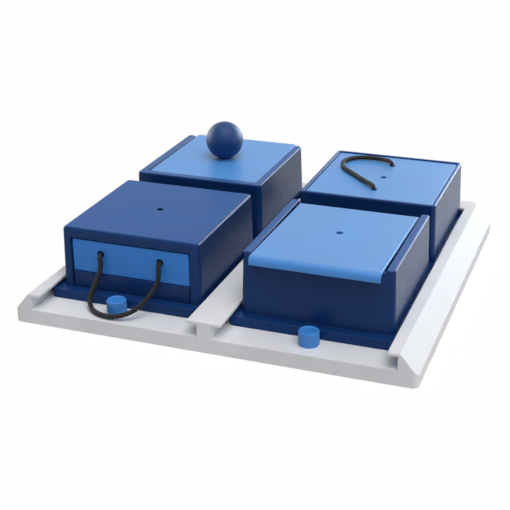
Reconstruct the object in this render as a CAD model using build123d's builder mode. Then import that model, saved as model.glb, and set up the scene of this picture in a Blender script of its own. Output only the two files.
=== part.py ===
"""Dog puzzle feeder: four treat boxes that slide in the two lanes of a tray.

Millimetres. X points right, Y points back, Z up. The origin is on the surface the feet stand on,
under the centre of the tray. Front row: drawer box (left) and flap box (right).
Back row: slide-lid box (left) and rope-lid box (right).
"""

import os
from math import cos, radians, sin, tan

from build123d import *

# ---- Boxes, shared sizes -------------------------------------------------------------------
box_size = 111.5          # outer length and width of a box at its top
box_height = 48.5         # from the flange's top to the top of the walls
wall_lean = 1.6           # how much further out each wall stands at the flange than at the top
wall_corner_radius = 3.0
flange_ledge = 7.15       # the flange beyond the foot of the walls
flange_height = 7.5
flange_corner_radius = 4.0
flange_edge_radius = 0.8   # upper edge of the flange
skirt_thickness = 2.5     # of the flange's top plate and of its skirt
front_wall = 3.5          # thickness of front and back walls
rail_wall = 6.5           # thickness of the side walls that flank a lid
top_hole_diameter = 5.5   # scent hole in the middle of each flat top
edge_radius = 1.3         # outer top edges of the open boxes
rim_radius = 0.8          # inner top edges of the open boxes
lid_thickness = 3.0
lid_drop = 0.9            # lid surface below the top of the walls
lid_gap = 0.6             # between a lid and the walls beside it
lid_edge_radius = 0.6     # upper edges of the lids, front edges of the drawer

# ---- Tray ----------------------------------------------------------------------------------
foot_stand = 1.0          # rubber feet below the tray's lower edge
floor_height = 11.5       # lane floor above the tray's lower edge
floor_thickness = 2.5
rail_height = 24.4        # rail tops above the tray's lower edge
lip_thickness = 2.4
edge_band = 8.9           # height of the upright outer band
slope_width = 13.0        # plan width of the slope above the band
shell_wall = 2.5          # tray wall thickness
t_stem_width = 11.0       # upright web between the lanes
rail_width = 14.5         # side rail, from the lane's wall to the outside
back_rail_width = 24.8
lip_reach = 7.5           # side and centre lips over the lanes
back_lip_reach = 5.7
lip_corner_radius = 3.0
tray_edge_radius = 0.7    # edges of the rails' flat tops
back_corner_radius = 21.0
front_corner_radius = 4.5
front_strip = 25.4        # lane floor in front of the front row
lane_play = 3.0           # each side of a flange in its lane
slide_clearance = 0.2     # under a flange
row_gap = 1.2             # between the flanges of the two rows
end_gap = 0.6             # behind the back row
rib_thickness = 1.8
rib_height = 6.0

# ---- Feet and stop knobs -------------------------------------------------------------------
foot_diameter = 14.0
foot_seat_depth = 2.0
foot_round = 0.5          # lower edge of a foot
foot_fit = 0.1            # radial, rubber foot in its boss
foot_inset = 22.0         # foot centre from the tray's sides
boss_wall = 2.2
knob_diameter = 15.1
knob_height = 10.8
knob_gap = 1.0            # between knob and flange
knob_shift_left = -4.0    # left knob from the middle of its lane
knob_seat_gap = 0.1
knob_dish_depth = 0.6
knob_rim = 1.6
knob_groove_radius = 0.5
knob_grooves = 24
peg_diameter = 6.0
peg_length = 7.0
peg_fit = 0.05            # radial
peg_lead_in = 0.6         # chamfer at the peg's end

# ---- Drawer box ----------------------------------------------------------------------------
housing_wall = 3.0
housing_top = 3.0
housing_edge_radius = 2.6
front_column = 6.65       # housing's front on either side of the opening
lintel_height = 7.9       # from the box top to the opening
drawer_gap_side = 1.1
drawer_gap_top = 1.1
drawer_gap_below = 0.3
drawer_recess = 0.8       # drawer and panel behind the housing's front
drawer_rear_space = 6.8   # behind the closed drawer
drawer_front = 3.0
drawer_wall = 2.2
drawer_side_drop = 3.5    # sides and back lower than the front
panel_height = 13.4       # raised floor above the flange
insert_fit = 0.15
insert_wall = 2.5
guide_height = 5.0
guide_thickness = 2.0
guide_gap = 0.5

# ---- Flap box ------------------------------------------------------------------------------
flap_thickness = 2.6
flap_tilt = 1.2           # degrees, the closed flap rises towards its nose
flap_gap = 1.5            # between the flap and the walls beside it
nose_overhang = 9.8       # front of the nose beyond the box's front
nose_depth = 6.5
nose_radius = 4.5
barrel_radius = 3.3
hinge_inset = 4.9         # hinge axis in front of the box's back
hinge_drop = 4.7          # hinge axis below the box top
barrel_gap = 0.5
pin_diameter = 4.0
pin_in_wall = 4.6
pin_in_lid = 12.0
pin_fit = 0.05            # radial, in the wall
flap_seat_gap = 0.2

# ---- Slide-lid box -------------------------------------------------------------------------
slide_front_rim = 7.4
slide_overhang = 5.8      # closed lid behind the box's back
tongue_width = 2.4
tongue_thickness = 1.6
groove_clearance = 0.25
lid_corner_radius = 2.0
ball_diameter = 32.6
ball_flat_depth = 0.3     # flat on which the ball sits
screw_diameter = 4.0
screw_length = 17.0
screw_head_diameter = 8.0
screw_head_height = 2.2
screw_fit = 0.2           # radial, shank in the lid

# ---- Rope-lid box --------------------------------------------------------------------------
rope_box_wall = 6.0
rope_box_rim = 3.2
rope_lid_gap = 0.4

# ---- Ropes ---------------------------------------------------------------------------------
rope_diameter = 4.0
rope_hole_diameter = 5.4
drawer_rope_spacing = 48.9
drawer_rope_below_top = 9.9     # holes below the drawer's upper edge
lid_rope_spacing = 62.0
knot_diameter = 9.5
knot_length = 7.5
knot_round = 2.5          # rounding of both ends of a knot
knot_gap = 0.2

# ---- Worked out from the sizes above -------------------------------------------------------
flange_size = box_size + 2 * (wall_lean + flange_ledge)
lane_width = flange_size + 2 * lane_play
lane_x = t_stem_width / 2 + lane_width / 2
lane_wall_x = t_stem_width / 2 + lane_width
tray_width = 2 * (lane_wall_x + rail_width)
tray_length = front_strip + 2 * flange_size + row_gap + end_gap + back_rail_width
tray_front_y = -tray_length / 2
front_flange_y = tray_front_y + front_strip
front_y = front_flange_y + flange_size / 2
back_y = front_y + flange_size + row_gap
back_wall_y = tray_length / 2 - back_rail_width

base_z = foot_stand
floor_z = base_z + floor_height
rail_z = base_z + rail_height
lip_z = rail_z - lip_thickness
under_floor_z = floor_z - floor_thickness
flange_z = floor_z + slide_clearance
ledge_z = flange_z + flange_height
plate_z = ledge_z - skirt_thickness
top_z = ledge_z + box_height
lid_z = top_z - lid_drop
lean_per_mm = wall_lean / box_height
lean_angle = Vector(0, 0, 1).get_angle(Vector(wall_lean, 0, box_height))
rail_in = box_size / 2 - rail_wall         # box centre to the inner face of a thick side wall
lid_half = rail_in - lid_gap


def wall_out(z):
    """Distance from a box's centre to the outer face of its walls at height z."""
    return box_size / 2 + (top_z - z) * lean_per_mm


def prism(x_span, y_span, z_span, radius=0, mode=Mode.ADD):
    """Upright block between pairs of limits, its upright edges rounded."""
    width = x_span[1] - x_span[0]
    depth = y_span[1] - y_span[0]
    with BuildSketch(Plane((sum(x_span) / 2, sum(y_span) / 2, z_span[0]))) as plan:
        if radius > 0:
            RectangleRounded(width, depth, radius)
        else:
            Rectangle(width, depth)
    extrude(plan.sketch, amount=z_span[1] - z_span[0], mode=mode)


def disc(x, y, z_span, diameter, mode=Mode.ADD):
    """Upright cylinder between two heights."""
    with BuildSketch(Plane((x, y, z_span[0]))) as plan:
        Circle(diameter / 2)
    extrude(plan.sketch, amount=z_span[1] - z_span[0], mode=mode)


def finish(piece, name):
    """Label a finished piece and write its STEP file."""
    piece.part.label = name
    export_step(piece.part, f"parts/{name}.step")


os.makedirs("parts", exist_ok=True)

# ---- Tray ----------------------------------------------------------------------------------
band_z = base_z + edge_band
slope_angle = Vector(0, 0, 1).get_angle(Vector(slope_width, 0, rail_height - edge_band))
shell_inset = shell_wall / cos(radians(slope_angle))
peg_z = floor_z - peg_length
knob_y = front_flange_y - knob_gap - knob_diameter / 2
KNOBS = {"left": -lane_x + knob_shift_left, "right": lane_x}
FEET = {
    "front_left": (-1, -1),
    "front_right": (1, -1),
    "back_left": (-1, 1),
    "back_right": (1, 1),
}


def foot_place(side, end):
    """Plan position of one foot."""
    return side * (tray_width / 2 - foot_inset), end * (tray_length / 2 - foot_inset)


def tray_blank(inset, front, high_z, mode=Mode.ADD):
    """Tray outline with two rounded back corners: an upright band, then a slope up to high_z."""
    back = tray_length / 2 - inset
    for low, high, taper in ((base_z, band_z, 0), (band_z, high_z, slope_angle)):
        with BuildSketch(Plane((0, (front + back) / 2, low))) as plan:
            Rectangle(tray_width - 2 * inset, back - front)
            fillet(plan.vertices().group_by(Axis.Y)[-1], back_corner_radius - inset)
        extrude(plan.sketch, amount=high - low, taper=taper, mode=mode)


with BuildPart() as tray:
    # Outer form, cut off square at the front, then hollowed from below.
    tray_blank(0, tray_front_y - 2 * slope_width, rail_z)
    split(bisect_by=Plane.XZ.offset(-tray_front_y), keep=Keep.BOTTOM)
    front_corners = edges().filter_by(Axis.Z).group_by(Axis.Y)[0]
    fillet(front_corners.group_by(Axis.Z)[0], front_corner_radius)
    tray_blank(shell_inset, tray_front_y + shell_wall, lip_z, mode=Mode.SUBTRACT)
    # The lanes' floor and walls.
    block_half = lane_wall_x + shell_wall
    prism((-block_half, block_half), (tray_front_y, back_wall_y + shell_wall), (under_floor_z, lip_z))
    prism((-block_half, block_half), (tray_front_y, tray_front_y + shell_wall), (base_z, under_floor_z))
    for side in (-1, 1):
        lane = sorted((side * t_stem_width / 2, side * lane_wall_x))
        mouth = (lane[0] + lip_reach, lane[1] - lip_reach)
        prism(lane, (tray_front_y, back_wall_y), (floor_z, lip_z), mode=Mode.SUBTRACT)
        with BuildSketch(Plane.XY.offset(lip_z)) as mouth_plan:
            front = tray_front_y - slope_width
            back = back_wall_y - back_lip_reach
            with Locations((sum(mouth) / 2, (front + back) / 2)):
                RectangleRounded(mouth[1] - mouth[0], back - front, lip_corner_radius)
        extrude(amount=rail_z - lip_z, mode=Mode.SUBTRACT)
    fillet(edges().group_by(Axis.Z)[-1], tray_edge_radius)
    # Core below the centre rail.
    core_half = t_stem_width / 2 - shell_wall
    prism((-core_half, core_half), (tray_front_y + shell_wall, back_wall_y),
          (under_floor_z, lip_z), mode=Mode.SUBTRACT)
    # A cross of two ribs below the floor.
    rib_span = (under_floor_z - rib_height, under_floor_z)
    rib_half = rib_thickness / 2
    rib_y = (tray_front_y + back_wall_y) / 2
    prism((-block_half, block_half), (rib_y - rib_half, rib_y + rib_half), rib_span)
    prism((-rib_half, rib_half), (tray_front_y, back_wall_y + shell_wall), rib_span)
    # Sockets for the knobs' pegs and seats for the feet.
    socket_diameter = peg_diameter + 2 * peg_fit
    for x in KNOBS.values():
        disc(x, knob_y, (peg_z, under_floor_z), socket_diameter + 2 * boss_wall)
        disc(x, knob_y, (peg_z, floor_z), socket_diameter, mode=Mode.SUBTRACT)
    seat_diameter = foot_diameter + 2 * foot_fit
    for place in FEET.values():
        x, y = foot_place(*place)
        disc(x, y, (base_z, under_floor_z), seat_diameter + 2 * boss_wall)
        disc(x, y, (base_z, base_z + foot_seat_depth), seat_diameter, mode=Mode.SUBTRACT)
finish(tray, "tray")

for name, place in FEET.items():
    x, y = foot_place(*place)
    with BuildPart() as foot:
        disc(x, y, (0, base_z + foot_seat_depth), foot_diameter)
        fillet(foot.edges().group_by(Axis.Z)[0], foot_round)
    finish(foot, f"foot_{name}")

# ---- Stop knobs ----------------------------------------------------------------------------
knob_z = floor_z + knob_seat_gap
for name, x in KNOBS.items():
    with BuildPart() as knob:
        disc(x, knob_y, (knob_z, knob_z + knob_height), knob_diameter)
        chamfer(knob.edges().group_by(Axis.Z)[-1], knob_groove_radius)
        dish_z = knob_z + knob_height - knob_dish_depth
        disc(x, knob_y, (dish_z, knob_z + knob_height), knob_diameter - 2 * knob_rim, mode=Mode.SUBTRACT)
        with BuildSketch(Plane((x, knob_y, knob_z))):
            with PolarLocations(knob_diameter / 2, knob_grooves):
                Circle(knob_groove_radius)
        extrude(amount=knob_height, mode=Mode.SUBTRACT)
        disc(x, knob_y, (peg_z, knob_z), peg_diameter)
        chamfer(knob.edges().group_by(Axis.Z)[0], peg_lead_in)
    finish(knob, f"stop_knob_{name}")


# ---- Box bodies ----------------------------------------------------------------------------
def box_block(x, y, top_edge):
    """Foot flange with its skirt, and the solid leaning block of a box with its top edges rounded."""
    half = flange_size / 2
    prism((x - half, x + half), (y - half, y + half), (flange_z, ledge_z), flange_corner_radius)
    fillet(faces().sort_by(Axis.Z)[-1].edges(), flange_edge_radius)
    foot_width = 2 * wall_out(ledge_z)
    with BuildSketch(Plane((x, y, ledge_z))) as plan:
        RectangleRounded(foot_width, foot_width, wall_corner_radius + wall_lean)
    extrude(plan.sketch, amount=box_height, taper=lean_angle)
    fillet(faces().sort_by(Axis.Z)[-1].edges(), top_edge)
    inner = half - skirt_thickness
    prism((x - inner, x + inner), (y - inner, y + inner), (flange_z, plate_z),
          flange_corner_radius - skirt_thickness / 2, mode=Mode.SUBTRACT)


def cut_across(x, half, y_span, z_span, radius=0):
    """Cut a pocket centred on x out of a box."""
    prism((x - half, x + half), y_span, z_span, radius, mode=Mode.SUBTRACT)


def round_rim(x, half, y_span):
    """Round the top edges of the walls around an opening centred on x."""
    rim = edges().group_by(Axis.Z)[-1]
    rim = rim.filter_by_position(Axis.X, x - half - rim_radius, x + half + rim_radius)
    fillet(rim.filter_by_position(Axis.Y, y_span[0] - rim_radius, y_span[1] + rim_radius), rim_radius)


beyond = flange_size          # past the outside of a box from its centre

# ---- Drawer box ----------------------------------------------------------------------------
drawer_x = -lane_x
cavity_half = box_size / 2 - housing_wall
opening_top = top_z - lintel_height
panel_z = ledge_z + panel_height
drawer_z = panel_z + drawer_gap_below
drawer_top = opening_top - drawer_gap_top
opening_half = box_size / 2 - front_column
drawer_half = opening_half - drawer_gap_side
drawer_y = front_y - wall_out(opening_top) + drawer_recess
insert_half = cavity_half - insert_fit
drawer_back = front_y + insert_half - drawer_rear_space
rope_hole_z = drawer_top - drawer_rope_below_top
ROPE_SIDES = {"left": drawer_x - drawer_rope_spacing / 2, "right": drawer_x + drawer_rope_spacing / 2}

with BuildPart() as drawer_housing:
    box_block(drawer_x, front_y, housing_edge_radius)
    cut_across(drawer_x, cavity_half, (front_y - cavity_half, front_y + cavity_half),
               (flange_z, top_z - housing_top))
    cut_across(drawer_x, opening_half, (front_y - wall_out(ledge_z), front_y),
               (ledge_z, opening_top))
    disc(drawer_x, front_y, (opening_top, top_z), top_hole_diameter, mode=Mode.SUBTRACT)
finish(drawer_housing, "drawer_housing")

with BuildPart() as drawer_floor:
    inner = insert_half - insert_wall
    prism((drawer_x - insert_half, drawer_x + insert_half),
          (front_y - insert_half, front_y + insert_half), (flange_z, panel_z))
    prism((drawer_x - drawer_half, drawer_x + drawer_half),
          (front_y - wall_out(panel_z) + drawer_recess, front_y), (ledge_z + insert_fit, panel_z))
    cut_across(drawer_x, inner, (front_y - inner, front_y + inner), (flange_z, panel_z - insert_wall))
    # Guides beside the drawer and a stop behind it.
    guide_x = drawer_half + guide_gap
    for side in (-1, 1):
        guide = sorted((drawer_x + side * guide_x, drawer_x + side * (guide_x + guide_thickness)))
        prism(guide, (front_y - insert_half, drawer_back), (panel_z, panel_z + guide_height))
    prism((drawer_x - guide_x, drawer_x + guide_x),
          (drawer_back + drawer_gap_below, drawer_back + drawer_gap_below + guide_thickness),
          (panel_z, panel_z + guide_height))
finish(drawer_floor, "drawer_floor")

with BuildPart() as drawer:
    prism((drawer_x - drawer_half, drawer_x + drawer_half), (drawer_y, drawer_y + drawer_front),
          (drawer_z, drawer_top))
    fillet(faces().sort_by(Axis.Y)[0].edges(), lid_edge_radius)
    prism((drawer_x - drawer_half, drawer_x + drawer_half), (drawer_y, drawer_back),
          (drawer_z, drawer_top - drawer_side_drop))
    cut_across(drawer_x, drawer_half - drawer_wall, (drawer_y + drawer_front, drawer_back - drawer_wall),
               (drawer_z + drawer_wall, drawer_top))
    for x in ROPE_SIDES.values():
        with BuildSketch(Plane((x, drawer_y, rope_hole_z), z_dir=(0, 1, 0))):
            Circle(rope_hole_diameter / 2)
        extrude(amount=drawer_front, mode=Mode.SUBTRACT)
finish(drawer, "drawer")


# ---- Flap box ------------------------------------------------------------------------------
flap_x = lane_x
box_back = front_y + box_size / 2
hinge_y = box_back - hinge_inset
hinge_z = top_z - hinge_drop
tilt = radians(flap_tilt)
flap_half = rail_in - flap_gap
flap_length = hinge_y - (front_y - box_size / 2) + nose_overhang
flap_under = barrel_radius - flap_thickness         # hinge axis to the flap's underside
flap_wall_inner = front_y - box_size / 2 + front_wall
flap_front_z = hinge_z + flap_under / cos(tilt) + (hinge_y - flap_wall_inner) * tan(tilt)
flap_front_z -= flap_seat_gap
flap_back_z = hinge_z - barrel_radius - barrel_gap

with BuildPart() as flap_box:
    box_block(flap_x, front_y, edge_radius)
    cut_across(flap_x, rail_in, (flap_wall_inner, box_back - front_wall), (ledge_z, top_z))
    cut_across(flap_x, rail_in, (front_y - beyond, front_y), (flap_front_z, top_z))
    cut_across(flap_x, rail_in, (front_y, front_y + beyond), (flap_back_z, top_z))
    round_rim(flap_x, rail_in, (front_y - beyond, front_y + beyond))
    for side in (-1, 1):
        with BuildSketch(Plane((flap_x + side * rail_in, hinge_y, hinge_z), z_dir=(side, 0, 0))):
            Circle(pin_diameter / 2 + pin_fit)
        extrude(amount=pin_in_wall + pin_fit, mode=Mode.SUBTRACT)
finish(flap_box, "flap_box")

with BuildPart() as flap_lid:
    # Section seen along the hinge: x runs towards the nose, y up through the flap.
    section = Plane((flap_x, hinge_y, hinge_z), x_dir=(0, -cos(tilt), sin(tilt)), z_dir=(-1, 0, 0))
    nose_back = flap_length - flap_thickness
    nose_low = barrel_radius - nose_depth
    with BuildSketch(section):
        with BuildLine():
            Polyline((0, barrel_radius), (flap_length, barrel_radius), (flap_length, nose_low),
                     (nose_back, nose_low), (nose_back, flap_under), (0, flap_under), close=True)
        make_face()
        fillet(vertices().sort_by_distance((flap_length, barrel_radius))[0], nose_radius)
        fillet(vertices().sort_by_distance((nose_back, flap_under))[0], nose_radius - flap_thickness)
        Circle(barrel_radius)
    extrude(amount=flap_half, both=True)
    fillet(faces().filter_by(Axis.X).edges(), lid_edge_radius)
    disc(flap_x, front_y, (flap_back_z, top_z + box_height), top_hole_diameter, mode=Mode.SUBTRACT)
    for side in (-1, 1):
        with BuildSketch(Plane((flap_x + side * flap_half, hinge_y, hinge_z), z_dir=(-side, 0, 0))):
            Circle(pin_diameter / 2)
        extrude(amount=pin_in_lid, mode=Mode.SUBTRACT)
finish(flap_lid, "flap_lid")

for name, side in (("left", -1), ("right", 1)):
    with BuildPart() as hinge_pin:
        pin_start = flap_x + side * (flap_half - pin_in_lid)
        with BuildSketch(Plane((pin_start, hinge_y, hinge_z), z_dir=(side, 0, 0))):
            Circle(pin_diameter / 2)
        extrude(amount=pin_in_lid + flap_gap + pin_in_wall)
    finish(hinge_pin, f"hinge_pin_{name}")


# ---- Slide-lid box -------------------------------------------------------------------------
slide_x = -lane_x
slide_front = back_y - box_size / 2
slide_back = back_y + box_size / 2
lid_low = lid_z - lid_thickness
groove_z = lid_low - groove_clearance
tongue_half = lid_half + tongue_width
slide_lid_y = (slide_front + slide_front_rim + lid_gap / 2, slide_back + slide_overhang)
ball_y = sum(slide_lid_y) / 2
ball_z = lid_z + ball_diameter / 2 - ball_flat_depth

with BuildPart() as slide_box:
    box_block(slide_x, back_y, edge_radius)
    rim_y = slide_front + slide_front_rim
    cut_across(slide_x, rail_in, (slide_front + front_wall, slide_back - front_wall), (ledge_z, groove_z))
    cut_across(slide_x, rail_in, (rim_y, back_y + beyond), (groove_z, top_z))
    round_rim(slide_x, rail_in, (rim_y, back_y + beyond))
    cut_across(slide_x, tongue_half + groove_clearance, (rim_y, back_y + beyond),
               (groove_z, lid_low + tongue_thickness + groove_clearance))
finish(slide_box, "slide_box")

with BuildPart() as slide_lid:
    with BuildSketch(Plane.XY.offset(lid_low)) as lid_plan:
        with Locations((slide_x, ball_y)):
            Rectangle(2 * lid_half, slide_lid_y[1] - slide_lid_y[0])
        fillet(lid_plan.vertices().group_by(Axis.Y)[-1], lid_corner_radius)
    extrude(amount=lid_thickness)
    fillet(faces().sort_by(Axis.Z)[-1].edges(), lid_edge_radius)
    prism((slide_x - tongue_half, slide_x + tongue_half), (slide_lid_y[0], slide_back - front_wall),
          (lid_low, lid_low + tongue_thickness))
    with Locations(Plane((slide_x, ball_y, lid_low), z_dir=(0, 0, -1))):
        CounterSinkHole(screw_diameter / 2 + screw_fit, screw_head_diameter / 2 + screw_fit)
finish(slide_lid, "slide_lid")

with BuildPart() as ball_knob:
    with Locations((slide_x, ball_y, ball_z)):
        Sphere(ball_diameter / 2)
    split(bisect_by=Plane.XY.offset(lid_z), keep=Keep.TOP)
    disc(slide_x, ball_y, (lid_z, lid_low + screw_length), screw_diameter, mode=Mode.SUBTRACT)
finish(ball_knob, "ball_knob")

with BuildPart() as ball_screw:
    with BuildSketch(Plane.XZ.offset(-ball_y)):
        with BuildLine():
            shank = slide_x + screw_diameter / 2
            Polyline((slide_x, lid_low), (slide_x + screw_head_diameter / 2, lid_low),
                     (shank, lid_low + screw_head_height), (shank, lid_low + screw_length),
                     (slide_x, lid_low + screw_length), close=True)
        make_face()
    revolve(axis=Axis((slide_x, ball_y, 0), (0, 0, 1)))
finish(ball_screw, "ball_screw")


# ---- Rope-lid box --------------------------------------------------------------------------
rope_x = lane_x
rope_cavity = box_size / 2 - rope_box_wall
rope_rebate = box_size / 2 - rope_box_rim
rope_lid_half = rope_rebate - rope_lid_gap
rope_lid_low = lid_z - lid_thickness
ROPE_ENDS = {"front": back_y - lid_rope_spacing / 2, "back": back_y + lid_rope_spacing / 2}

with BuildPart() as rope_box:
    box_block(rope_x, back_y, edge_radius)
    cut_across(rope_x, rope_cavity, (back_y - rope_cavity, back_y + rope_cavity), (ledge_z, top_z))
    cut_across(rope_x, rope_rebate, (back_y - rope_rebate, back_y + rope_rebate),
               (rope_lid_low, top_z), lid_corner_radius)
    round_rim(rope_x, rope_rebate, (back_y - rope_rebate, back_y + rope_rebate))
finish(rope_box, "rope_box")

with BuildPart() as rope_lid:
    prism((rope_x - rope_lid_half, rope_x + rope_lid_half),
          (back_y - rope_lid_half, back_y + rope_lid_half), (rope_lid_low, lid_z), lid_corner_radius)
    fillet(faces().sort_by(Axis.Z)[-1].edges(), lid_edge_radius)
    disc(rope_x, back_y, (rope_lid_low, lid_z), top_hole_diameter, mode=Mode.SUBTRACT)
    for y in ROPE_ENDS.values():
        disc(rope_x, y, (rope_lid_low, lid_z), rope_hole_diameter, mode=Mode.SUBTRACT)
finish(rope_lid, "rope_lid")


# ---- Knots and ropes -----------------------------------------------------------------------
def knot(face):
    """Rounded knot that starts flat at the given plane."""
    with BuildSketch(face) as section:
        Circle(knot_diameter / 2)
    extrude(section.sketch, amount=knot_length)
    fillet(edges(), knot_round)


def bend_radii(points):
    """0.45 of the shorter run beside each corner, divided by the tangent of half its turn."""
    radii = []
    for before, corner, after in zip(points, points[1:], points[2:]):
        run_in = Vector(*corner) - Vector(*before)
        run_out = Vector(*after) - Vector(*corner)
        half_turn = radians(run_in.get_angle(run_out) / 2)
        radii.append(0.45 * min(run_in.length, run_out.length) / tan(half_turn))
    return radii


def rope(points):
    """Round rope along straight runs joined by tangent arcs."""
    radii = bend_radii(points)
    print("rope bend radii", [round(radius, 1) for radius in radii])
    with BuildLine() as route:
        FilletPolyline(*points, radius=radii)
    with BuildSketch(Plane(points[0], z_dir=Vector(*points[1]) - Vector(*points[0]))) as section:
        Circle(rope_diameter / 2)
    path = route.wire()
    sweep(section.sketch, path=path)
    print("rope length", round(path.length, 1))
    print("section times length", round(section.sketch.area * path.length, 1))


for name, x in ROPE_SIDES.items():
    with BuildPart() as drawer_knot:
        knot(Plane((x, drawer_y + drawer_front + knot_gap, rope_hole_z), z_dir=(0, 1, 0)))
    finish(drawer_knot, f"drawer_knot_{name}")

for name, y in ROPE_ENDS.items():
    with BuildPart() as lid_knot:
        knot(Plane((rope_x, y, rope_lid_low - knot_gap), z_dir=(0, 0, -1)))
    finish(lid_knot, f"lid_knot_{name}")

# Pull loop of the drawer: out of the left hole, over the flange, round the knob, back up.
DRAWER_ROPE = [
    (-97.45, -117.12, 49.8),
    (-97.45, -120.9, 49.8),
    (-97.0, -123.5, 48.9),
    (-96.1, -124.0, 46.0),
    (-95.8, -124.4, 41.6),
    (-96.7, -127.0, 34.6),
    (-98.4, -129.9, 29.2),
    (-100.1, -133.0, 24.6),
    (-100.6, -136.2, 20.2),
    (-98.8, -139.8, 17.0),
    (-95.0, -144.0, 15.2),
    (-89.2, -147.5, 14.8),
    (-82.7, -149.8, 14.8),
    (-76.3, -150.5, 15.1),
    (-70.2, -149.8, 16.1),
    (-64.5, -147.9, 17.7),
    (-59.5, -144.7, 20.0),
    (-55.8, -140.6, 23.0),
    (-52.5, -136.0, 27.1),
    (-49.2, -131.5, 32.1),
    (-47.8, -127.4, 37.4),
    (-47.8, -124.8, 42.2),
    (-48.1, -124.0, 46.0),
    (-48.5, -123.5, 48.9),
    (-48.55, -120.9, 49.8),
    (-48.55, -117.12, 49.8),
]

# Loop on the lid: up through the front hole, round in a wide bow, down through the back hole.
LID_ROPE = [
    (73.0, 34.1, 64.6),
    (73.0, 34.1, 68.4),
    (72.0, 35.3, 70.4),
    (69.3, 38.3, 70.6),
    (64.7, 43.1, 70.2),
    (58.4, 49.7, 69.9),
    (50.8, 57.6, 69.9),
    (43.6, 64.6, 69.9),
    (36.9, 72.2, 69.9),
    (32.6, 80.6, 69.9),
    (31.6, 88.6, 69.9),
    (34.0, 96.0, 69.9),
    (39.6, 101.8, 69.9),
    (46.9, 104.8, 69.9),
    (54.6, 105.4, 69.9),
    (61.6, 103.8, 70.1),
    (66.8, 100.9, 70.6),
    (70.4, 98.3, 70.8),
    (72.5, 96.6, 69.9),
    (73.0, 96.1, 67.6),
    (73.0, 96.1, 64.6),
]

for name, points in (("drawer_rope", DRAWER_ROPE), ("lid_rope", LID_ROPE)):
    with BuildPart() as cord:
        rope(points)
    print(name, "volume", round(cord.part.volume, 1))
    finish(cord, name)
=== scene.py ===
"""Dog puzzle feeder: finishes, pull ropes, knobs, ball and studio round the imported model.

Metres, in the model's own frame: X right, Y back, Z up from the surface the feet stand on.
"""

from math import cos, pi, radians, sin

import bpy
import numpy as np
from mathutils import Matrix, Vector


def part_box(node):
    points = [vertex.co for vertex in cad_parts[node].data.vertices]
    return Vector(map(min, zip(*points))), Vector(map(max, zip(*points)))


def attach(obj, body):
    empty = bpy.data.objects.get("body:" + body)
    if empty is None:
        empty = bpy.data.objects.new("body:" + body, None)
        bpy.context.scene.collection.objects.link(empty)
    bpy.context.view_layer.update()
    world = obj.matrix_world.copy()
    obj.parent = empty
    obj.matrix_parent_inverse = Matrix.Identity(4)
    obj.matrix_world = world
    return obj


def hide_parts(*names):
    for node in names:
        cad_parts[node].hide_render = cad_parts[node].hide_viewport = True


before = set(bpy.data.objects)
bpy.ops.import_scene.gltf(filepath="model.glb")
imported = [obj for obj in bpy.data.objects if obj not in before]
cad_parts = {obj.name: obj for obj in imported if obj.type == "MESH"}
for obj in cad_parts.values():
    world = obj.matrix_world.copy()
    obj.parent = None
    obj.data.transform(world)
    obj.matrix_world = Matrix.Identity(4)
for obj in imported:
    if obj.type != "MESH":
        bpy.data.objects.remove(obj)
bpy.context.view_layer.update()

MM = 0.001
WHITE = (1, 1, 1, 1)
scene = bpy.context.scene


def add_object(name, data):
    """New object in the scene, on the given data."""
    item = bpy.data.objects.new(name, data)
    scene.collection.objects.link(item)
    return item


# ---- Camera --------------------------------------------------------------------------------
AIM = Vector((-10.10, -22.70, 21.0)) * MM
AZIMUTH = radians(20.677)          # round from the front towards the right
ELEVATION = radians(23.695)
ROLL = radians(-0.731)
DISTANCE = 893.95 * MM
LENS = 77.511                      # in millimetres, as Blender has it
SENSOR_WIDTH = 36                  # in millimetres too


def place_camera():
    """Camera on a line from the aim point, turned by the roll about that line."""
    back = Vector((sin(AZIMUTH) * cos(ELEVATION), -cos(AZIMUTH) * cos(ELEVATION), sin(ELEVATION)))
    level = (-back).cross(Vector((0, 0, 1))).normalized()
    above = level.cross(-back)
    right = level * cos(ROLL) + above * sin(ROLL)
    up = above * cos(ROLL) - level * sin(ROLL)
    data = bpy.data.cameras.new("camera")
    data.sensor_width = SENSOR_WIDTH
    data.lens = LENS
    camera = add_object("camera", data)
    turn = Matrix((right, up, back)).transposed().to_4x4()
    camera.matrix_world = Matrix.Translation(AIM + back * DISTANCE) @ turn
    scene.camera = camera


place_camera()


# ---- Meshes from arrays --------------------------------------------------------------------
LAY_MAP = "lay"            # UV map of the yarn bundles: the way along and the turn round each


def grid_faces(rows, columns, start):
    """Quads of a grid of points numbered row by row from start, each row closed on itself."""
    row, column = np.meshgrid(np.arange(rows - 1), np.arange(columns), indexing="ij")
    ahead = (column + 1) % columns
    corners = [(row, column), (row, ahead), (row + 1, ahead), (row + 1, column)]
    return start + np.stack([a * columns + b for a, b in corners], -1).reshape(-1, 4)


def fan_faces(ring, pole, outward=True):
    """Triangles between a ring of point numbers and one pole."""
    ahead = np.roll(ring, -1)
    hub = np.full_like(ring, pole)
    return np.stack([ring, ahead, hub] if outward else [ahead, ring, hub], -1)


def closed_faces(rows, columns, start=0):
    """Faces of a grid whose rows are rings, closed at each end by a fan round a pole.

    The points are numbered row by row from start, and the two poles come after them.
    """
    first = np.arange(columns) + start
    last = first + (rows - 1) * columns
    pole = start + rows * columns
    return [grid_faces(rows, columns, start),
            fan_faces(first, pole, outward=False),
            fan_faces(last, pole + 1)]


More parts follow.
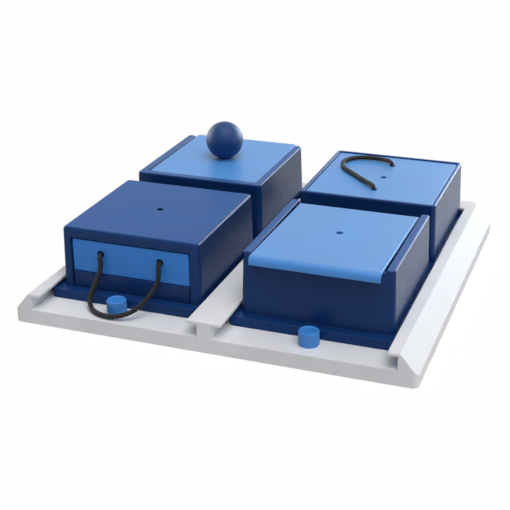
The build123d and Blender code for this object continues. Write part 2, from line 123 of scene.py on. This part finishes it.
def make_piece(name, points, faces, material, body, uv=None):
    """Smooth-shaded piece from points and lists of faces, painted and set on its body."""
    mesh = bpy.data.meshes.new(name)
    corners_of_faces = [face.tolist() for part in faces for face in part]
    mesh.from_pydata(np.asarray(points).tolist(), [], corners_of_faces)
    mesh.polygons.foreach_set("use_smooth", np.ones(len(mesh.polygons), bool))
    if uv is not None:
        corners = np.empty(len(mesh.loops), np.int32)
        mesh.loops.foreach_get("vertex_index", corners)
        layer = mesh.uv_layers.new(name=LAY_MAP)
        layer.data.foreach_set("uv", uv[corners].astype(np.float32).ravel())
    mesh.materials.append(material)
    piece = add_object(name, mesh)
    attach(piece, body)
    return piece


def rounded(corners, radius, steps=6):
    """Open polyline whose inner corners become parabolas that reach a radius to each side:
    (1 - t)^2 A + 2 t (1 - t) C + t^2 B about corner C."""
    corners = np.asarray(corners, float)
    t = np.linspace(0, 1, steps)[:, None]
    rows = [corners[:1]]
    for before, corner, after in zip(corners, corners[1:], corners[2:]):
        reach_in = min(radius, np.linalg.norm(corner - before) / 2)
        reach_out = min(radius, np.linalg.norm(after - corner) / 2)
        a = corner + (before - corner) / np.linalg.norm(before - corner) * reach_in
        b = corner + (after - corner) / np.linalg.norm(after - corner) * reach_out
        rows.append((1 - t) ** 2 * a + 2 * t * (1 - t) * corner + t ** 2 * b)
    return np.concatenate(rows + [corners[-1:]])


def lathe(profile, steps, centre, radial=None, lift=None):
    """Surface of revolution about an upright axis: (r cos a, r sin a, z) for each row (r, z) of
    the profile, whose first and last rows are poles.

    radial(r, z, a) and lift(r, z, a), where given, replace r and add to z.
    """
    angle = np.linspace(0, 2 * pi, steps, endpoint=False)
    r, a = np.meshgrid(profile[1:-1, 0], angle, indexing="ij")
    z = np.repeat(profile[1:-1, 1:], steps, axis=1)
    reach = r if radial is None else radial(r, z, a)
    height = z if lift is None else z + lift(r, z, a)
    rings = np.stack([reach * np.cos(a), reach * np.sin(a), height], -1).reshape(-1, 3)
    poles = np.array([(0, 0, profile[0, 1]), (0, 0, profile[-1, 1])])
    if lift is not None:
        poles[:, 2] += lift(np.zeros(2), poles[:, 2], np.zeros(2))
    points = np.concatenate([rings, poles]) + (centre[0], centre[1], 0)
    return points, closed_faces(len(profile) - 2, steps)


# ---- Shader building blocks ----------------------------------------------------------------
NOISE_SPAN = (0.3, 0.7)            # where nearly all of a noise value lies


def feed(tree, term, socket):
    """Link a term to a socket, or set the socket's own value where the term is no socket."""
    if isinstance(term, bpy.types.NodeSocket):
        tree.links.new(term, socket)
    else:
        socket.default_value = term


def calculate(tree, operation, *terms):
    """Result of a Math node on numbers and sockets."""
    node = tree.nodes.new("ShaderNodeMath")
    node.operation = operation
    for term, socket in zip(terms, node.inputs):
        feed(tree, term, socket)
    return node.outputs["Value"]


def map_range(tree, value, before, after=(0, 1)):
    """Map a value from one span (low, high) to another, evenly, and hold it within that."""
    node = tree.nodes.new("ShaderNodeMapRange")
    node.inputs["From Min"].default_value, node.inputs["From Max"].default_value = before
    node.inputs["To Min"].default_value, node.inputs["To Max"].default_value = after
    tree.links.new(value, node.inputs["Value"])
    return node.outputs["Result"]


def shade_between(tree, factor, first, second):
    """Colour that goes from the first to the second as the factor goes from 0 to 1."""
    node = tree.nodes.new("ShaderNodeMix")
    node.data_type = "RGBA"
    node.inputs["A"].default_value = (*first, 1)
    node.inputs["B"].default_value = (*second, 1)
    tree.links.new(factor, node.inputs["Factor"])
    return node.outputs["Result"]


def noise(tree, coordinates, scale, detail):
    """3-D noise on the given coordinates, at a scale that is a number or a socket."""
    node = tree.nodes.new("ShaderNodeTexNoise")
    node.inputs["Detail"].default_value = detail
    feed(tree, scale, node.inputs["Scale"])
    tree.links.new(coordinates, node.inputs["Vector"])
    return node.outputs["Fac"]


def new_group(name, inputs, outputs):
    """Shader node group with named float inputs and outputs; returns it with its end nodes."""
    group = bpy.data.node_groups.new(name, "ShaderNodeTree")
    for title, value in inputs.items():
        socket = group.interface.new_socket(title, in_out="INPUT", socket_type="NodeSocketFloat")
        socket.default_value = value
    for title in outputs:
        group.interface.new_socket(title, in_out="OUTPUT", socket_type="NodeSocketFloat")
    return group, group.nodes.new("NodeGroupInput"), group.nodes.new("NodeGroupOutput")


def add_group(tree, group):
    """Node in a material's tree that stands for a group."""
    node = tree.nodes.new("ShaderNodeGroup")
    node.node_tree = group
    return node


def new_material(name):
    """Material with its Principled shader."""
    material = bpy.data.materials.new(name)
    material.use_nodes = True
    return material, material.node_tree, material.node_tree.nodes["Principled BSDF"]


# ---- Effects that several finishes share ---------------------------------------------------
FLOW_SHARE = 0.6                   # height of the flow waves against that of the grain
TONE_DRIFT = (0.95, 1.05)
FACING_UP = (0.80, 0.99)           # upward part of the normal where a top starts and is full
ABOVE_FLANGES = (0.035, 0.045)     # heights where the tops' painted light starts and is full


def moulded_skin():
    """Group: surface of a moulded part. Height is fine mould grain on slow flow waves, and Gloss
    and Tone drift with the waves."""
    tree, ends_in, ends_out = new_group(
        "moulded_skin", {"Grain Scale": 1800.0, "Flow Scale": 22.0}, ("Height", "Gloss", "Tone"))
    place = tree.nodes.new("ShaderNodeTexCoord").outputs["Object"]
    grain = noise(tree, place, ends_in.outputs["Grain Scale"], detail=2.0)
    flow = noise(tree, place, ends_in.outputs["Flow Scale"], detail=4.0)
    effects = {
        "Height": calculate(tree, "MULTIPLY_ADD", flow, FLOW_SHARE, grain),
        "Gloss": map_range(tree, flow, NOISE_SPAN, (-1, 1)),
        "Tone": map_range(tree, flow, NOISE_SPAN, TONE_DRIFT),
    }
    for title, effect in effects.items():
        tree.links.new(effect, ends_out.inputs[title])
    return tree


def painted_light_tops():
    """Group: 1 on the upward faces of boxes and lids and 0 elsewhere, from the part's own normals
    and heights, so not on flanges and knobs, which are lower. It marks where a paler colour
    paints in the light that the tops catch."""
    tree, _, ends_out = new_group("painted_light_tops", {}, ("Mask",))
    coordinates = tree.nodes.new("ShaderNodeTexCoord")
    up, height = (tree.nodes.new("ShaderNodeSeparateXYZ") for _ in range(2))
    tree.links.new(coordinates.outputs["Normal"], up.inputs["Vector"])
    tree.links.new(coordinates.outputs["Object"], height.inputs["Vector"])
    both = calculate(tree, "MULTIPLY", map_range(tree, up.outputs["Z"], FACING_UP),
                     map_range(tree, height.outputs["Z"], ABOVE_FLANGES))
    tree.links.new(both, ends_out.inputs["Mask"])
    return tree


SKIN = moulded_skin()
PAINTED_LIGHT_TOPS = painted_light_tops()


# ---- Finishes ------------------------------------------------------------------------------
GRAIN_DEPTH = 0.05 * MM
EDGE_RADIUS = 0.9 * MM             # moulded edges catch the light as if rounded by this much
EDGE_SAMPLES = 6
FILAMENT_SCALE = (300, 9, 1)       # noise cells per metre along a bundle and per turn round it


def add_bump(tree, shader, height, strength, distance, edge_radius=0.0):
    """Bump from a height value into the shader's normal, over edges softened by the radius."""
    bump = tree.nodes.new("ShaderNodeBump")
    if edge_radius > 0:
        edges = tree.nodes.new("ShaderNodeBevel")
        edges.samples = EDGE_SAMPLES
        edges.inputs["Radius"].default_value = edge_radius
        tree.links.new(edges.outputs["Normal"], bump.inputs["Normal"])
    bump.inputs["Strength"].default_value = strength
    bump.inputs["Distance"].default_value = distance
    tree.links.new(height, bump.inputs["Height"])
    tree.links.new(bump.outputs["Normal"], shader.inputs["Normal"])


def plastic(name, colour, roughness, specular, grain, gloss_drift, bump,
            painted_light_colour=None, top_roughness=None):
    """Moulded plastic: one colour with slow drifts of tone and gloss and a fine mould grain.

    Where a painted light colour is given, the upward faces above the flanges take it, a paler
    colour painted in for the light that the tops catch, and they take the top roughness.
    """
    material, tree, shader = new_material(name)
    skin = add_group(tree, SKIN)
    skin.inputs["Grain Scale"].default_value = grain
    if painted_light_colour is not None:
        # painted light: the upward faces above the flanges get a paler colour that stands in for
        # the light the tops catch
        upward = add_group(tree, PAINTED_LIGHT_TOPS).outputs["Mask"]
        colour = shade_between(tree, upward, colour, painted_light_colour)
        roughness = map_range(tree, upward, (0, 1), (roughness, top_roughness))
    tone = tree.nodes.new("ShaderNodeVectorMath")
    tone.operation = "SCALE"
    feed(tree, colour, tone.inputs[0])
    tree.links.new(skin.outputs["Tone"], tone.inputs["Scale"])
    tree.links.new(tone.outputs["Vector"], shader.inputs["Base Color"])
    rough = calculate(tree, "MULTIPLY_ADD", skin.outputs["Gloss"], gloss_drift, roughness)
    tree.links.new(rough, shader.inputs["Roughness"])
    shader.inputs["Specular IOR Level"].default_value = specular
    add_bump(tree, shader, skin.outputs["Height"], bump, GRAIN_DEPTH, EDGE_RADIUS)
    return material


def speckled(name, scale, roughness, dark, light, bump, depth, metallic=0.0):
    """Finish whose gloss, shade and relief follow one fine noise."""
    material, tree, shader = new_material(name)
    place = tree.nodes.new("ShaderNodeTexCoord").outputs["Object"]
    marks = noise(tree, place, scale, detail=3.0)
    tree.links.new(map_range(tree, marks, NOISE_SPAN, roughness), shader.inputs["Roughness"])
    tree.links.new(shade_between(tree, marks, dark, light), shader.inputs["Base Color"])
    shader.inputs["Metallic"].default_value = metallic
    add_bump(tree, shader, marks, bump, depth)
    return material


def braided_yarn():
    """Black polyester yarn: fine filaments along each bundle, from the bundle's own UV map."""
    material, tree, shader = new_material("black braided yarn")
    lay = tree.nodes.new("ShaderNodeUVMap")
    lay.uv_map = LAY_MAP
    stretch = tree.nodes.new("ShaderNodeMapping")
    stretch.inputs["Scale"].default_value = FILAMENT_SCALE
    tree.links.new(lay.outputs["UV"], stretch.inputs["Vector"])
    filaments = noise(tree, stretch.outputs["Vector"], scale=1.0, detail=2.0)
    shade = shade_between(tree, filaments, (0.0015, 0.0015, 0.0018), (0.012, 0.011, 0.013))
    tree.links.new(shade, shader.inputs["Base Color"])
    shader.inputs["Roughness"].default_value = 0.45
    shader.inputs["Specular IOR Level"].default_value = 0.3
    add_bump(tree, shader, filaments, strength=0.6, distance=0.05 * MM)
    return material


# Paler colours for the upward faces: painted light for the light the tops catch, not the
# plastic's own colour
NAVY_PAINTED_LIGHT_TOP = (0.026, 0.108, 0.350)
LID_PAINTED_LIGHT_TOP = (0.084, 0.312, 0.750)
TRAY_WHITE = plastic(
    "tray white", (0.84, 0.845, 0.875), roughness=0.50, specular=0.10,
    grain=1500, gloss_drift=0.04, bump=0.12)
BOX_NAVY = plastic(
    "box navy", (0.007, 0.039, 0.152), roughness=0.26, specular=0.13,
    grain=1800, gloss_drift=0.02, bump=0.05, painted_light_colour=NAVY_PAINTED_LIGHT_TOP, top_roughness=0.38)
HOUSING_NAVY = plastic(
    "housing navy", (0.009, 0.042, 0.152), roughness=0.27, specular=0.11,
    grain=900, gloss_drift=0.03, bump=0.25, painted_light_colour=NAVY_PAINTED_LIGHT_TOP, top_roughness=0.42)
LID_BLUE = plastic(
    "lid blue", (0.045, 0.252, 0.690), roughness=0.44, specular=0.62,
    grain=1800, gloss_drift=0.03, bump=0.12, painted_light_colour=LID_PAINTED_LIGHT_TOP, top_roughness=0.42)
DRAWER_BLUE = plastic(
    "drawer blue", (0.032, 0.225, 0.710), roughness=0.34, specular=0.30,
    grain=1800, gloss_drift=0.03, bump=0.12)
BALL_NAVY = plastic(
    "ball navy", (0.004, 0.044, 0.170), roughness=0.48, specular=0.30,
    grain=2500, gloss_drift=0.02, bump=0.06)
YARN = braided_yarn()
RUBBER = speckled(
    "foot rubber", scale=900, roughness=(0.65, 0.85),
    dark=(0.05, 0.05, 0.055), light=(0.08, 0.08, 0.085), bump=0.5, depth=0.1 * MM)
STEEL = speckled(
    "zinc plated steel", scale=2500, roughness=(0.25, 0.45),
    dark=(0.50, 0.51, 0.52), light=(0.62, 0.62, 0.63), bump=0.2, depth=0.02 * MM, metallic=1.0)
# The hinge pins' near-black colour is painted shade: it darkens them where they show at the back
# of the gap, so they don't catch light.
PIN_STEEL_PAINTED_SHADE = speckled(
    "near-black steel, painted shade", scale=2500, roughness=(0.25, 0.45),
    dark=(0.030, 0.034, 0.045), light=(0.050, 0.055, 0.070), bump=0.2, depth=0.02 * MM,
    metallic=1.0)

NODE_FINISH = {
    "tray": TRAY_WHITE,
    "foot_front_left": RUBBER,
    "foot_front_right": RUBBER,
    "foot_back_left": RUBBER,
    "foot_back_right": RUBBER,
    "drawer_housing": HOUSING_NAVY,
    "drawer_floor": BOX_NAVY,
    "drawer": DRAWER_BLUE,
    "flap_box": BOX_NAVY,
    "flap_lid": LID_BLUE,
    "hinge_pin_left": PIN_STEEL_PAINTED_SHADE,
    "hinge_pin_right": PIN_STEEL_PAINTED_SHADE,
    "slide_box": BOX_NAVY,
    "slide_lid": LID_BLUE,
    "rope_box": BOX_NAVY,
    "rope_lid": LID_BLUE,
}
for node, finish in NODE_FINISH.items():
    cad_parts[node].material_slots[0].material = finish


# ---- Ropes ---------------------------------------------------------------------------------
ROPE_DIAMETER = 0.004
BRAID_PITCH = 0.014        # one turn of a yarn bundle round the rope
BRAID_BUNDLES = 4          # of each hand
BRAID_STEP = BRAID_PITCH / 36
BUNDLE_THICKNESS = 0.20    # share of the rope's diameter
BUNDLE_FILL = 0.66         # share of the way from one bundle to the next that it covers
BUNDLE_SIDES = 6
WEAVE_HEIGHT = 0.07        # share of the rope's diameter
CORE_INSET = 0.35          # share of a bundle's thickness
CORE_SIDES = 12
CURVE_STEPS = 16           # between two points of a route

KNOT_YARN_DIAMETER = 0.0027
KNOT_PITCH = BRAID_PITCH * 0.7
KNOT_STEP = BRAID_PITCH / 26
KNOT_WIDTH = 6.2           # in millimetres, as the next one is
KNOT_MARGIN = 1.0
KNOT_POINTS = 90
KNOT_SHARE = (0.06, 0.94)  # of the closed trefoil, from one free end to the other
TREFOIL_SPAN = 6           # twice the 3 that the trefoil reaches from its middle

ROPE_LIE = {
    "drawer_rope": [
        (-0.09745, -0.11712, 0.04980),
        (-0.09745, -0.12090, 0.04980),
        (-0.09700, -0.12350, 0.04890),
        (-0.09610, -0.12400, 0.04600),
        (-0.09580, -0.12440, 0.04160),
        (-0.09670, -0.12700, 0.03460),
        (-0.09840, -0.12990, 0.02920),
        (-0.10010, -0.13300, 0.02460),
        (-0.10060, -0.13620, 0.02020),
        (-0.09880, -0.13980, 0.01700),
        (-0.09500, -0.14400, 0.01520),
        (-0.08920, -0.14750, 0.01480),
        (-0.08270, -0.14980, 0.01480),
        (-0.07630, -0.15050, 0.01510),
        (-0.07020, -0.14980, 0.01610),
        (-0.06450, -0.14790, 0.01770),
        (-0.05950, -0.14470, 0.02000),
        (-0.05580, -0.14060, 0.02300),
        (-0.05250, -0.13600, 0.02710),
        (-0.04920, -0.13150, 0.03210),
        (-0.04780, -0.12740, 0.03740),
        (-0.04780, -0.12480, 0.04220),
        (-0.04810, -0.12400, 0.04600),
        (-0.04850, -0.12350, 0.04890),
        (-0.04855, -0.12090, 0.04980),
        (-0.04855, -0.11712, 0.04980),
    ],
    "lid_rope": [
        (0.07300, 0.03410, 0.06460),
        (0.07300, 0.03410, 0.06840),
        (0.07200, 0.03530, 0.07040),
        (0.06930, 0.03830, 0.07060),
        (0.06470, 0.04310, 0.07020),
        (0.05840, 0.04970, 0.06990),
        (0.05080, 0.05760, 0.06990),
        (0.04360, 0.06460, 0.06990),
        (0.03690, 0.07220, 0.06990),
        (0.03260, 0.08060, 0.06990),
        (0.03160, 0.08860, 0.06990),
        (0.03400, 0.09600, 0.06990),
        (0.03960, 0.10180, 0.06990),
        (0.04690, 0.10480, 0.06990),
        (0.05460, 0.10540, 0.06990),
        (0.06160, 0.10380, 0.07010),
        (0.06680, 0.10090, 0.07060),
        (0.07040, 0.09830, 0.07080),
        (0.07250, 0.09660, 0.06990),
        (0.07300, 0.09610, 0.06760),
        (0.07300, 0.09610, 0.06460),
    ],
}


def nurbs_line(name, points):
    """Points along the smooth NURBS line that the route's points control."""
    data = bpy.data.curves.new(name, "CURVE")
    data.dimensions = "3D"
    data.resolution_u = CURVE_STEPS
    spline = data.splines.new("NURBS")
    spline.points.add(len(points) - 1)
    spline.points.foreach_set("co", np.column_stack([points, np.ones(len(points))]).ravel())
    spline.order_u = 3
    spline.use_endpoint_u = True
    holder = add_object(name, data)
    bpy.context.view_layer.update()
    mesh = bpy.data.meshes.new_from_object(holder)
    line = np.empty(len(mesh.vertices) * 3)
    mesh.vertices.foreach_get("co", line)
    bpy.data.objects.remove(holder)
    return line.reshape(-1, 3)


def even_line(line, step):
    """The same line with its points a step apart, and the way along it."""
    way = np.concatenate([[0], np.cumsum(np.linalg.norm(np.diff(line, axis=0), axis=1))])
    even = np.linspace(0, way[-1], max(2, round(way[-1] / step)) + 1)
    return np.stack([np.interp(even, way, line[:, k]) for k in range(3)], -1), even


def untwisted_frames(line):
    """Tangent and two normals at each point. Each normal is the last one with its part along the
    tangent taken off, and the first is square to the tangent in any direction."""
    tangent = np.gradient(line, axis=0)
    tangent /= np.linalg.norm(tangent, axis=1)[:, None]
    normal = np.empty_like(tangent)
    carried = np.cross(tangent[0], np.roll(tangent[0], 1) + (0.1, 0.2, 0.3))
    for k, along in enumerate(tangent):
        carried = carried - along * (carried @ along)
        carried /= np.linalg.norm(carried)
        normal[k] = carried
    return tangent, normal, np.cross(tangent, normal)


def tube(line, normal, binormal, radius, sides):
    """Closed round tube: line point + radius (normal cos v + binormal sin v), with a pole at
    each end."""
    v = np.linspace(0, 2 * pi, sides, endpoint=False)
    ring = np.cos(v)[:, None] * normal[:, None] + np.sin(v)[:, None] * binormal[:, None]
    points = np.concatenate([(line[:, None] + radius * ring).reshape(-1, 3), line[[0, -1]]])
    return points, closed_faces(len(line), sides)


def braid(line, diameter, pitch, step):
    """Braided rope on a line, of n bundles a hand round a core tube that fills the middle.

    Bundle k of one hand stands at angle w s + 2 pi k / n round the line, of the other at
    -w s + 2 pi k / n, with w = 2 pi / pitch. Its centre is R + h cos(n w s) from the line, or
    R - h cos(n w s), so it goes over one bundle of the other hand and under the next. Its
    section is an ellipse lying flat on the rope.
    """
    line, way = even_line(line, step)
    tangent, normal, binormal = untwisted_frames(line)
    thickness = diameter * BUNDLE_THICKNESS
    weave = diameter * WEAVE_HEIGHT
    centre_radius = diameter / 2 - weave - thickness / 2
    width = 2 * pi * centre_radius / BRAID_BUNDLES * BUNDLE_FILL
    turn = 2 * pi / pitch
    v = np.linspace(0, 2 * pi, BUNDLE_SIDES, endpoint=False)
    core_radius = centre_radius - thickness * CORE_INSET
    points, faces = tube(line, normal, binormal, core_radius, CORE_SIDES)
    parts, lays, count = [points], [np.zeros((len(points), 2))], len(points)
    for hand in (1, -1):
        reach = centre_radius + hand * weave * np.cos(BRAID_BUNDLES * turn * way)
        lean = np.arctan(turn * reach)
        for k in range(BRAID_BUNDLES):
            angle = hand * turn * way + 2 * pi * k / BRAID_BUNDLES
            out = np.cos(angle)[:, None] * normal + np.sin(angle)[:, None] * binormal
            around = np.cross(tangent, out)
            run = np.cos(lean)[:, None] * tangent + hand * np.sin(lean)[:, None] * around
            across = np.cross(run, out)
            centre = line + reach[:, None] * out
            flat = width / 2 * np.cos(v)[None, :, None] * across[:, None]
            proud = thickness / 2 * np.sin(v)[None, :, None] * out[:, None]
            bundle = (centre[:, None] + flat - proud).reshape(-1, 3)
            faces += closed_faces(len(line), BUNDLE_SIDES, count)
            along, round_it = np.meshgrid(way, v / (2 * pi), indexing="ij")
            lays += [np.stack([along, round_it], -1).reshape(-1, 2), np.zeros((2, 2))]
            parts += [bundle, centre[[0, -1]]]
            count += len(bundle) + 2
    return np.concatenate(parts), faces, np.concatenate(lays)


def overhand_knot(end, out, length):
    """Line of an overhand knot that starts at end and goes on along out for a length: a trefoil,
    (sin t + 2 sin 2t, cos t - 2 cos 2t) across and -sin 3t along."""
    side = out.orthogonal().normalized()
    other = out.cross(side)
    t = np.linspace(*KNOT_SHARE, KNOT_POINTS) * 2 * pi
    scale = (KNOT_WIDTH - KNOT_MARGIN) / TREFOIL_SPAN
    x = (np.sin(t) + 2 * np.sin(2 * t)) * scale
    y = (np.cos(t) - 2 * np.cos(2 * t)) * scale
    z = length / 2 - np.sin(3 * t) * length / 4
    basis = np.array([side, other, out])
    return np.asarray(end) + np.stack([x, y, z], -1) @ basis * MM


# Each rope's body, its piece's name, the way its ends go behind the face, and its knots.
ROPES = {
    "drawer_rope": (
        "drawer", "drawer_rope_braid", (0, 1, 0), ["drawer_knot_left", "drawer_knot_right"]),
    "lid_rope": (
        "rope_lid", "lid_rope_braid", (0, 0, -1), ["lid_knot_front", "lid_knot_back"]),
}


def stand_in_rope(node, piece_name, path, diameter, pitch, step, body):
    """Braided piece on a path, in the place of a rope's or knot's plain solid."""
    points, faces, lay = braid(path, diameter, pitch, step)
    piece = make_piece(piece_name, points, faces, YARN, body, lay)
    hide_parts(node)
    return piece


for node, (body, name, inwards, knot_nodes) in ROPES.items():
    line = nurbs_line(node, ROPE_LIE[node])
    rope = stand_in_rope(node, name, line, ROPE_DIAMETER, BRAID_PITCH, BRAID_STEP, body)
    for knot_node in knot_nodes:
        low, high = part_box(knot_node)
        out = Vector(inwards)
        half = abs(out.dot(high - low)) / 2
        knot_line = overhand_knot((low + high) / 2 - out * half, out, 2 * half / MM)
        stand_in_rope(knot_node, knot_node + "_braid", knot_line,
                                   KNOT_YARN_DIAMETER, KNOT_PITCH, KNOT_STEP, body)


# ---- Stop knobs ----------------------------------------------------------------------------
KNOB_FLUTES = 24
FLUTE_STEPS = 8            # points round each flute
FLUTE_DEPTH = 0.50 * MM
KNOB_DISH = 0.6 * MM
KNOB_RIM = 1.6 * MM
KNOB_EDGE = 0.55 * MM
PEG_RADIUS = 3.0 * MM
PEG_LENGTH = 7.1 * MM


def stop_knob(node, body):
    """Fluted knob on a peg: a lathe form whose side radius is R - depth (1 - cos n a) / 2 for n
    flutes, fading inwards from its side."""
    low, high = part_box(node)
    radius = (high.y - low.y) / 2
    seat = low.z + PEG_LENGTH
    dish = high.z - KNOB_DISH
    corners = [
        (0, low.z),
        (PEG_RADIUS - KNOB_EDGE, low.z),
        (PEG_RADIUS, low.z + KNOB_EDGE),
        (PEG_RADIUS, seat),
        (radius, seat),
        (radius, high.z),
        (radius - KNOB_RIM, high.z),
        (radius - KNOB_RIM - KNOB_DISH / 2, dish),
        (0, dish),
    ]

    def fluted(r, z, a):
        share = np.clip((r - (radius - 2 * FLUTE_DEPTH)) / (2 * FLUTE_DEPTH), 0, 1)
        return r - FLUTE_DEPTH * share * (1 - np.cos(KNOB_FLUTES * a)) / 2

    points, faces = lathe(rounded(corners, KNOB_EDGE), KNOB_FLUTES * FLUTE_STEPS,
                          (low + high) / 2, radial=fluted)
    knob = make_piece(node + "_fluted", points, faces, LID_BLUE, body)
    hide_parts(node)


stop_knob("stop_knob_left", "knob_left")
stop_knob("stop_knob_right", "knob_right")


# ---- Ball knob and its screw ---------------------------------------------------------------
BALL_ROWS = 90
BALL_STEPS = 128


def ball_knob():
    """Sphere cut flat where it sits: rows (R sin e, R cos e) about its centre, from the flat up
    to the top."""
    low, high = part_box("ball_knob")
    radius = (high.x - low.x) / 2
    middle = high.z - radius
    e = np.linspace(np.arccos((low.z - middle) / radius), 0, BALL_ROWS)
    rows = np.stack([radius * np.sin(e), middle + radius * np.cos(e)], -1)
    profile = np.concatenate([[(0, low.z)], rows])
    points, faces = lathe(profile, BALL_STEPS, (low + high) / 2)
    ball = make_piece("ball_knob_round", points, faces, BALL_NAVY, "slide_lid")
    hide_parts("ball_knob")


SCREW_STEPS = 96
HEAD_HEIGHT = 2.2 * MM
HEAD_STEPS = 40            # from the middle of its face to the edge
SCREW_PITCH = 1.5 * MM
THREAD_DEPTH = 0.35 * MM
THREAD_ROWS = 150
TIP_LENGTH = 0.6 * MM
TIP_SHARE = 0.6            # of the shank's radius
RECESS_DEPTH = 1.3 * MM
RECESS_ARM = 2.2 * MM      # length of each arm from the middle
RECESS_END = 0.6 * MM      # length of the slope that ends it
RECESS_HALF_WIDTH = 0.55 * MM
RECESS_WALL = 0.15 * MM    # width of the slope at each side
FACE_TOLERANCE = 0.01 * MM


def ball_screw():
    """Countersunk screw. The shank's radius is R - depth times a zigzag of z / pitch - a / 2 pi,
    and the head's face is lifted into a cross recess where |x| or |y| is below the slot's half
    width."""
    low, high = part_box("ball_screw")
    head = (high.x - low.x) / 2
    shank = head / 2
    neck = low.z + HEAD_HEIGHT
    face = [(k * head / HEAD_STEPS, low.z) for k in range(HEAD_STEPS + 1)]
    thread = [(shank, z) for z in np.linspace(neck, high.z - TIP_LENGTH, THREAD_ROWS)]
    profile = np.array(face + thread + [(shank * TIP_SHARE, high.z), (0, high.z)])

    def threaded(r, z, a):
        zigzag = np.abs(((z / SCREW_PITCH - a / (2 * pi)) % 1) * 2 - 1)
        return np.where(z > neck + SCREW_PITCH / 2, r - THREAD_DEPTH * zigzag, r)

    def recessed(r, z, a):
        x, y = np.abs(r * np.cos(a)), np.abs(r * np.sin(a))
        arm = np.clip((RECESS_HALF_WIDTH - np.minimum(x, y)) / RECESS_WALL, 0, 1)
        fade = np.clip((RECESS_ARM - np.maximum(x, y)) / RECESS_END, 0, 1)
        return np.where(z < low.z + FACE_TOLERANCE, RECESS_DEPTH * arm * fade, 0)

    points, faces = lathe(profile, SCREW_STEPS, (low + high) / 2, radial=threaded, lift=recessed)
    screw = make_piece("ball_screw_threaded", points, faces, STEEL, "slide_lid")
    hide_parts("ball_screw")


ball_knob()
ball_screw()


# ---- Studio --------------------------------------------------------------------------------
def rays_that_see(tree):
    """1 for camera, glossy and transmission rays, 0 for the rest."""
    path = tree.nodes.new("ShaderNodeLightPath")
    seen = path.outputs["Is Camera Ray"]
    for kind in ("Is Glossy Ray", "Is Transmission Ray"):
        seen = calculate(tree, "MAXIMUM", seen, path.outputs[kind])
    return seen


def mix_shaders(tree, factor, first, second, target):
    """Mix two shaders by a factor into the target socket."""
    mix = tree.nodes.new("ShaderNodeMixShader")
    tree.links.new(factor, mix.inputs["Fac"])
    tree.links.new(first, mix.inputs[1])
    tree.links.new(second, mix.inputs[2])
    tree.links.new(mix.outputs["Shader"], target)


def light_world(strength, white_strength):
    """White surroundings: dim as a light, plain white where they are seen or mirrored."""
    world = bpy.data.worlds.new("studio")
    scene.world = world
    world.use_nodes = True
    tree = world.node_tree
    lit = tree.nodes["Background"]
    white = tree.nodes.new("ShaderNodeBackground")
    for background, amount in ((lit, strength), (white, white_strength)):
        background.inputs["Color"].default_value = WHITE
        background.inputs["Strength"].default_value = amount
    mix_shaders(tree, rays_that_see(tree), lit.outputs["Background"],
                white.outputs["Background"], tree.nodes["World Output"].inputs["Surface"])


def lay_floor(size, shadow_share, glow_strength, grey):
    """Pale floor. A share of what is seen of it is lit, so it keeps a faint shadow, and the rest
    is plain white."""
    mesh = bpy.data.meshes.new("studio_floor")
    half = size / 2
    corners = [(-half, -half, 0), (half, -half, 0), (half, half, 0), (-half, half, 0)]
    mesh.from_pydata(corners, [], [(0, 1, 2, 3)])
    floor = add_object("studio_floor", mesh)
    material, tree, shader = new_material("studio paper")
    shader.inputs["Base Color"].default_value = (grey, grey, grey, 1)
    shader.inputs["Roughness"].default_value = 1.0
    shader.inputs["Specular IOR Level"].default_value = 0.0
    glow = tree.nodes.new("ShaderNodeEmission")
    glow.inputs["Strength"].default_value = glow_strength
    share = calculate(tree, "MULTIPLY", rays_that_see(tree), 1 - shadow_share)
    mix_shaders(tree, share, shader.outputs["BSDF"], glow.outputs["Emission"],
                tree.nodes["Material Output"].inputs["Surface"])
    mesh.materials.append(material)


def add_lamp(name, kind, power, source):
    """Lamp turned so that its light comes from the given direction."""
    data = bpy.data.lights.new(name, kind)
    data.energy = power
    lamp = add_object(name, data)
    lamp.rotation_mode = "QUATERNION"
    lamp.rotation_quaternion = Vector(source).to_track_quat("Z", "Y")
    return lamp


def sun(name, source, strength, spread_angle):
    """Large soft light at infinity."""
    lamp = add_lamp(name, "SUN", strength, source)
    lamp.data.angle = radians(spread_angle)


def mirrored_panel(name, place, width, height, radiance, colour):
    """Rectangular lamp that faces the model and shows in gloss alone. Its power is radiance
    times pi times area."""
    lamp = add_lamp(name, "AREA", radiance * pi * width * height, place)
    lamp.data.shape = "RECTANGLE"
    lamp.data.size = width
    lamp.data.size_y = height
    lamp.data.color = colour
    lamp.location = place
    lamp.visible_camera = False
    lamp.visible_diffuse = False


light_world(strength=0.08, white_strength=1.1)
lay_floor(size=14, shadow_share=0.12, glow_strength=1.05, grey=0.70)
sun("key_softbox", (0.28, -0.38, 0.87), strength=1.52, spread_angle=50)
sun("overhead_softbox", (0.12, 0.05, 1.0), strength=0.85, spread_angle=60)
sun("right_softbox", (1.0, 0.1, 0.25), strength=0.45, spread_angle=40)
mirrored_panel("back_panel", (0.52, 1.15, 0.30), width=1.00, height=0.64,
               radiance=11.0, colour=(0.75, 0.88, 1.0))
mirrored_panel("left_back_panel", (-1.10, 0.25, 0.30), width=0.85, height=0.60,
               radiance=6.0, colour=(0.85, 0.93, 1.0))

scene.view_settings.view_transform = "Standard"
